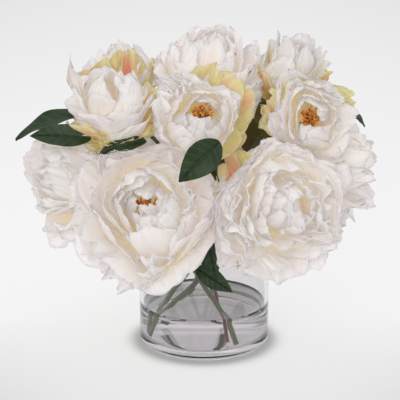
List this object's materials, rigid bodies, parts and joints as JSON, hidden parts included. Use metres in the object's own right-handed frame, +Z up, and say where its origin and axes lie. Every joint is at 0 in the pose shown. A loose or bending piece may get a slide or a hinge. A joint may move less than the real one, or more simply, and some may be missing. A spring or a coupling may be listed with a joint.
{
  "type": "peonies in a glass vase",
  "caption": "Cream peonies with dark green leaves and forked stems, standing in a straight clear glass cylinder vase part filled with clear water.",
  "frame": {"origin": "centre of the vase's flat underside", "axes": "+Z up, -Y towards the viewer, +X to the viewer's right"},
  "size_m": [0.335, 0.2833, 0.306],
  "materials": {
    "clear_glass": "clear, polished glass with a fire-polished rim and a thick base",
    "clear_water": "clear water, or the clear resin that looks like it",
    "outer_petal": "matt cream-white silk petal, faintly pink and yellow towards its foot",
    "inner_petal": "matt cream petal, buttery yellow in the folds",
    "guard_petal": "matt yellow-green petal with a pink blush and streaks",
    "stamen": "orange-yellow stamens, dark orange at the foot",
    "stem": "olive green, slightly satin, reddish in places",
    "leaf": "dark green leaf with a soft gloss and paler veins"
  },
  "bodies": {
    "root": {"vase": "clear_glass", "water": "clear_water", "stem_1": "stem", "stem_2": "stem", "stem_3": "stem", "stem_4": "stem", "stem_5": "stem", "stem_6": "stem", "side_stem_1": "stem", "side_stem_2": "stem", "side_stem_3": "stem", "side_stem_4": "stem", "side_stem_5": "stem", "side_stem_6": "stem", "side_stem_7": "stem", "side_stem_8": "stem", "leaf_1": "leaf", "leaf_2": "leaf", "leaf_3": "leaf", "leaf_4": "leaf", "leaf_5": "leaf", "leaf_6": "leaf", "leaf_7": "leaf", "leaf_8": "leaf", "leaf_9": "leaf", "peony_1_outer_petals": "outer_petal", "peony_1_inner_petals": "inner_petal", "peony_1_stamens": "stamen", "peony_2_outer_petals": "outer_petal", "peony_2_inner_petals": "inner_petal", "peony_3_outer_petals": "outer_petal", "peony_3_inner_petals": "inner_petal", "peony_4_outer_petals": "outer_petal", "peony_4_inner_petals": "inner_petal", "peony_5_outer_petals": "guard_petal", "peony_5_inner_petals": "inner_petal", "peony_5_stamens": "stamen", "peony_6_outer_petals": "guard_petal", "peony_6_inner_petals": "inner_petal", "peony_7_outer_petals": "outer_petal", "peony_7_inner_petals": "inner_petal", "peony_8_outer_petals": "guard_petal", "peony_8_inner_petals": "inner_petal", "peony_8_stamens": "stamen", "peony_9_outer_petals": "guard_petal", "peony_9_inner_petals": "inner_petal", "peony_9_stamens": "stamen", "peony_10_outer_petals": "guard_petal", "peony_10_inner_petals": "inner_petal", "peony_11_outer_petals": "outer_petal", "peony_11_inner_petals": "inner_petal", "peony_12_outer_petals": "outer_petal", "peony_12_inner_petals": "inner_petal", "peony_12_stamens": "stamen", "peony_13_outer_petals": "outer_petal", "peony_13_inner_petals": "inner_petal", "peony_14_outer_petals": "outer_petal", "peony_14_inner_petals": "inner_petal"}
  },
  "joints": []
}
